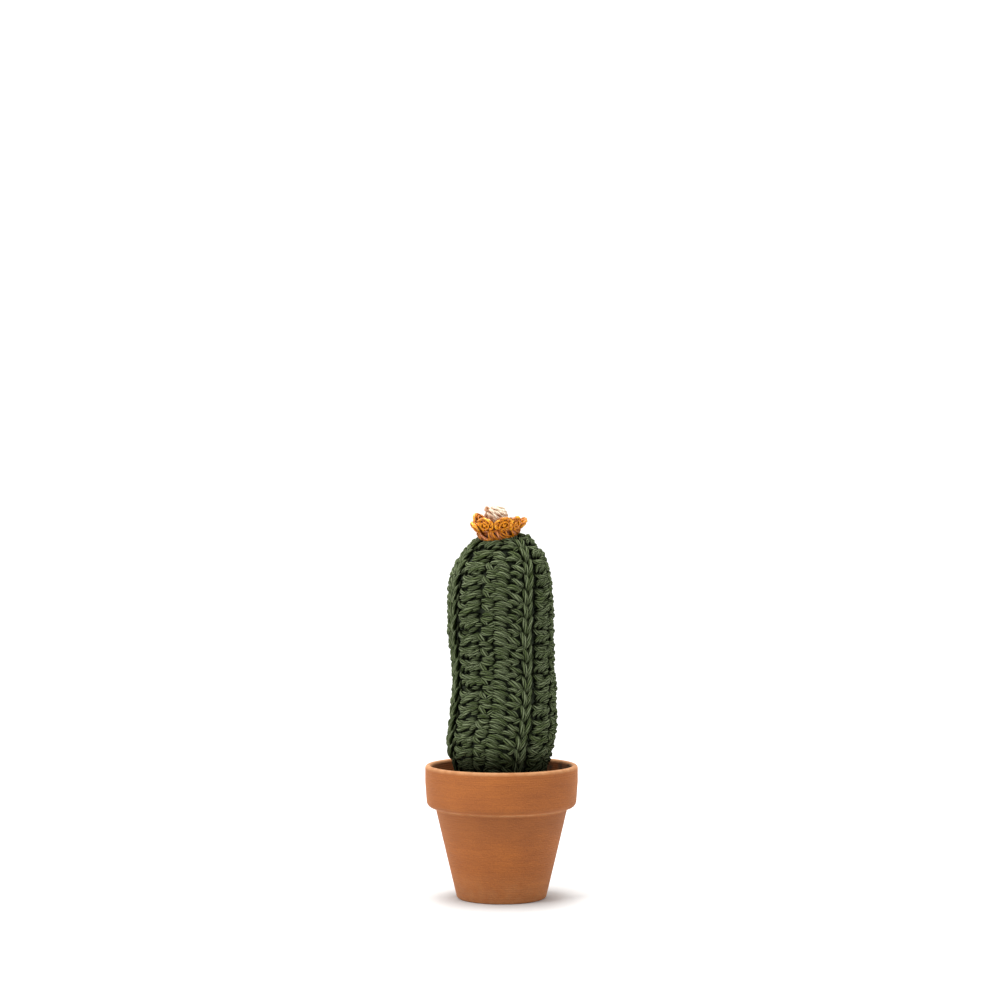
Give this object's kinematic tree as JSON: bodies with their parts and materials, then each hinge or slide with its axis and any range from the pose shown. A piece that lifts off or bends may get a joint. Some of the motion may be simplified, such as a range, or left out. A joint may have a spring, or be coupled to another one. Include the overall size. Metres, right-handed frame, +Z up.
{
  "type": "crocheted cactus in a terracotta pot",
  "caption": "Stuffed column cactus crocheted in thick cotton, with a small crocheted flower on its top, standing in a tapered clay flower pot.",
  "frame": {"origin": "middle of the pot's underside", "axes": "+Z up along the pot's axis; the front, as pictured, looks along -Y and +X is to its right"},
  "size_m": [0.11, 0.11, 0.2818],
  "materials": {
    "terracotta": "matt",
    "green_cotton": "matt",
    "filling_fibre": "matt",
    "mustard_thread": "satin",
    "cream_thread": "matt"
  },
  "bodies": {
    "root": {"pot": "terracotta", "cover": "green_cotton", "filling": "filling_fibre", "flower_petals": "mustard_thread", "flower_centre": "cream_thread"}
  },
  "joints": []
}
